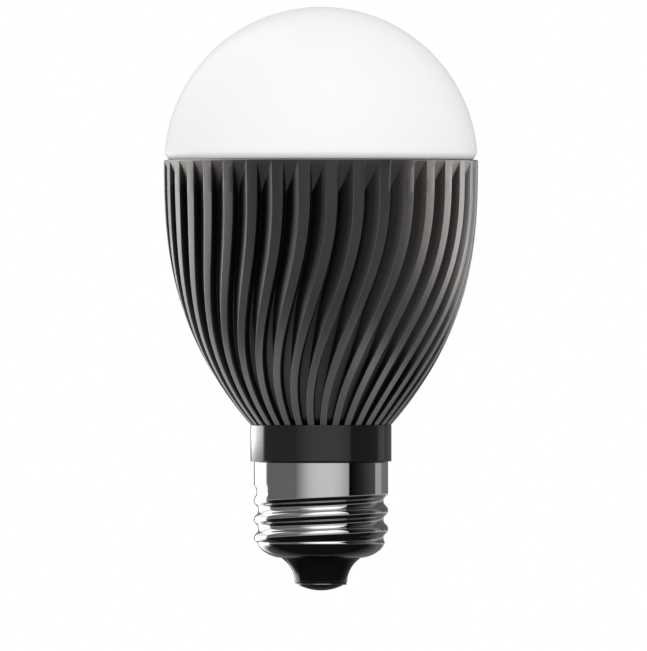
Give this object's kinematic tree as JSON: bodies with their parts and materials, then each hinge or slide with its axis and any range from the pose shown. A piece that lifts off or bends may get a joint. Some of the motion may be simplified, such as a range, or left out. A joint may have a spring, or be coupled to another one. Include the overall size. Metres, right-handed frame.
{
  "type": "smart light bulb",
  "caption": "LED smart bulb with an Edison screw cap, black collar, dark heat sink of swept fins and a milky globe over its light engine.",
  "frame": {"origin": "tip of the centre contact, on the bulb's axis", "axes": "+Z along the bulb's axis from the cap to the globe; -Y is the front in the picture, +X to its right"},
  "size_m": [0.0612, 0.0612, 0.1138],
  "materials": {
    "globe_plastic": "milky moulded polycarbonate, smooth",
    "seal_silicone": "cured silicone bead",
    "dark_anodised": "cast, dark anodised, satin",
    "bare_aluminium": "stamped sheet, brushed",
    "zinc_steel": "zinc plated",
    "thermal_silicone": "soft filled silicone sheet",
    "white_solder_mask": "aluminium-core board, white solder mask",
    "white_phosphor": "white tray with yellow phosphor",
    "colour_led_tray": "white tray with clear resin",
    "socket_nylon": "natural nylon",
    "gilt_pins": "gold flash on brass",
    "black_nylon": "black glass-filled nylon",
    "green_board": "glass-epoxy board, green solder mask",
    "tinned_can": "tinned steel can",
    "white_moulding": "white moulded plastic",
    "ferrite": "pressed ferrite",
    "winding_tape": "yellow tape over copper wire",
    "enamelled_copper": "enamelled copper wire",
    "capacitor_sleeve": "aluminium can in a dark sleeve",
    "epoxy_amber": "dipped epoxy",
    "resistor_ceramic": "coated ceramic",
    "epoxy_blue": "dipped epoxy",
    "chip_epoxy": "moulded epoxy",
    "collar_black": "gloss black moulded plastic",
    "nickel_shell": "bright nickel-plated brass sheet",
    "black_glass": "fused black glass",
    "contact_metal": "tinned contact, darkened",
    "lead_red": "silicone-insulated wire",
    "lead_white": "silicone-insulated wire"
  },
  "bodies": {
    "bulb": {"globe_seal": "seal_silicone", "heat_sink": "dark_anodised", "mounting_plate": "bare_aluminium", "plate_screws": "zinc_steel", "board_screws": "zinc_steel", "thermal_pad": "thermal_silicone", "led_board": "white_solder_mask", "white_leds": "white_phosphor", "colour_leds": "colour_led_tray", "led_socket": "socket_nylon", "header_pins": "gilt_pins", "header_body": "black_nylon", "radio_header": "black_nylon", "radio_board": "green_board", "driver_board": "green_board", "radio_shield": "tinned_can", "driver_cover": "white_moulding", "driver_housing": "white_moulding", "transformer_core": "ferrite", "choke_core": "ferrite", "transformer_winding": "winding_tape", "choke_winding": "enamelled_copper", "input_capacitor": "capacitor_sleeve", "output_capacitor": "capacitor_sleeve", "film_capacitor": "epoxy_amber", "fuse_resistor": "resistor_ceramic", "varistor": "epoxy_blue", "bridge_rectifier": "chip_epoxy", "control_chip": "chip_epoxy", "power_switch": "chip_epoxy", "output_diode": "chip_epoxy", "base_collar": "collar_black", "screw_shell": "nickel_shell", "base_insulator": "black_glass", "centre_contact": "contact_metal", "live_lead": "lead_red", "neutral_lead": "lead_white"},
    "globe": {"globe": "globe_plastic"}
  },
  "joints": [
    {"name": "globe_pull", "type": "slide", "parent": "bulb", "child": "globe", "axis": [0, 0, 1], "range_m": [0, 0.025]}
  ]
}
